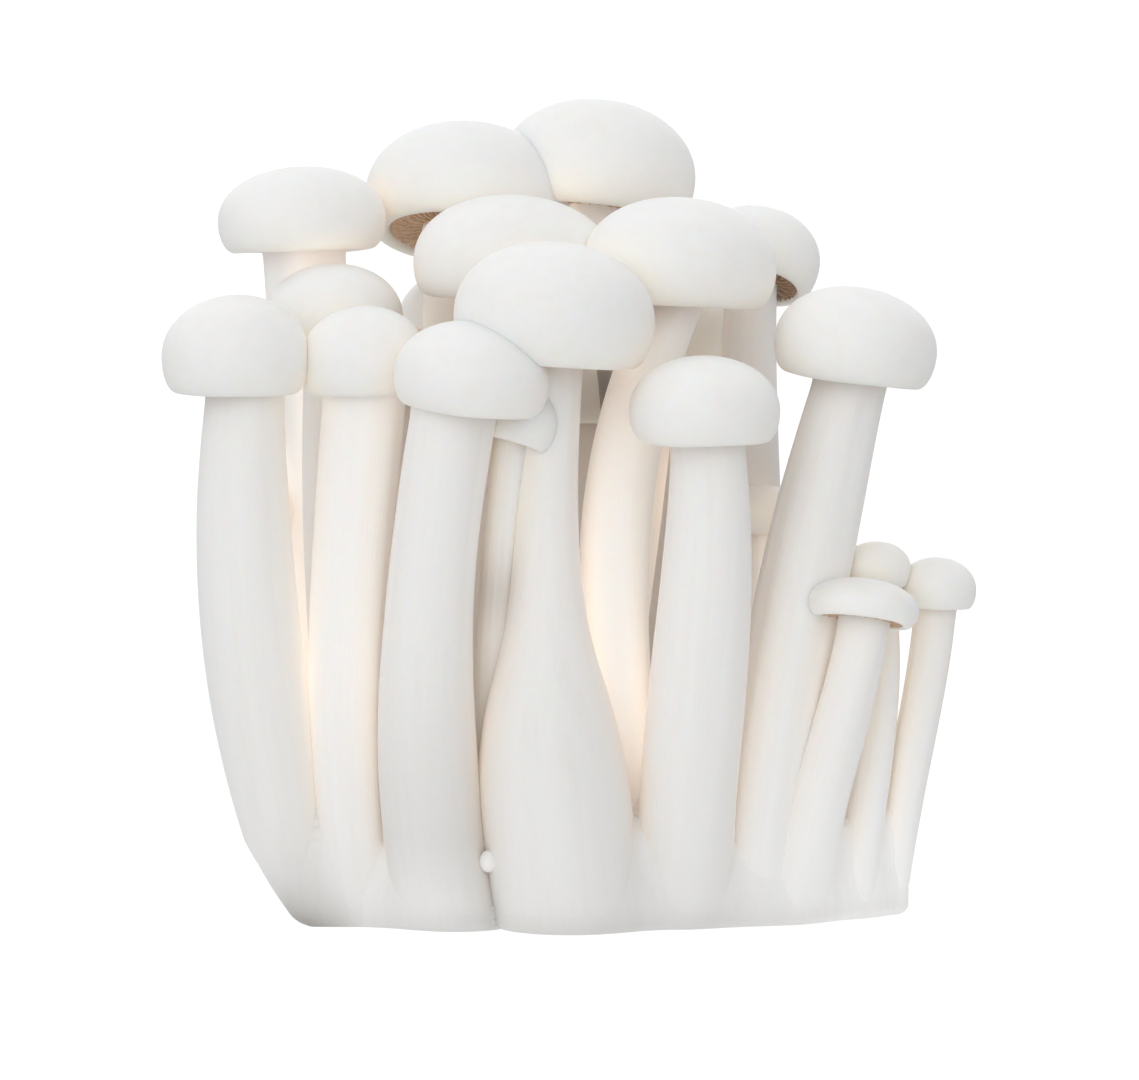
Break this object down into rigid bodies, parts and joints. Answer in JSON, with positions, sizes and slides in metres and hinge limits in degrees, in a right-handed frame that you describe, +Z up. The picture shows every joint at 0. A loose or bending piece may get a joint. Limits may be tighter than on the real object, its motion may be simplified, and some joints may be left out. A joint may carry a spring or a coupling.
{
  "type": "shimeji mushroom bunch",
  "caption": "Bunch of white beech mushrooms: slender bowed stems with domed caps, rising out of one fused base that is cut off flat underneath.",
  "frame": {"origin": "under the middle of the whole bunch's box, on the flat cut face it stands on", "axes": "+Z up along the stems, X along the broad side of the bunch, -Y towards its front"},
  "size_m": [0.0804, 0.0586, 0.0806],
  "materials": {
    "caps": "satin",
    "stems": "matte",
    "cut_base": "matte"
  },
  "bodies": {
    "root": {"base": "cut_base", "stem_left_front": "stems", "stem_far_left": "stems", "stem_right_front": "stems", "stem_centre_front": "stems", "stem_centre_tucked": "stems", "stem_left_inner": "stems", "stem_right_small_front": "stems", "stem_right_tall": "stems", "stem_right_small_end": "stems", "stem_right_small_middle": "stems", "stem_right_high": "stems", "stem_centre_high": "stems", "stem_right_tiny": "stems", "stem_right_leaning": "stems", "stem_left_tucked": "stems", "stem_left_high": "stems", "stem_top_left": "stems", "stem_top_right": "stems", "stem_back_inner_left": "stems", "stem_back_inner_right": "stems", "stem_back_left": "stems", "stem_back_centre_left": "stems", "stem_back_centre_right": "stems", "stem_back_end_right": "stems", "stem_back_end_left": "stems", "stem_back_far_left": "stems", "stem_back_centre": "stems", "stem_back_low_left": "stems", "stem_back_low_right": "stems", "cap_left_front": "caps", "cap_far_left": "caps", "cap_right_front": "caps", "cap_centre_front": "caps", "cap_centre_tucked": "caps", "cap_left_inner": "caps", "cap_right_small_front": "caps", "cap_right_tall": "caps", "cap_right_small_end": "caps", "cap_right_small_middle": "caps", "cap_right_high": "caps", "cap_centre_high": "caps", "cap_right_tiny": "caps", "cap_right_leaning": "caps", "cap_left_tucked": "caps", "cap_left_high": "caps", "cap_top_left": "caps", "cap_top_right": "caps", "cap_back_inner_left": "caps", "cap_back_inner_right": "caps", "cap_back_left": "caps", "cap_back_centre_left": "caps", "cap_back_centre_right": "caps", "cap_back_end_right": "caps", "cap_back_end_left": "caps", "cap_back_far_left": "caps", "cap_back_centre": "caps", "cap_back_low_left": "caps", "cap_back_low_right": "caps"}
  },
  "joints": []
}
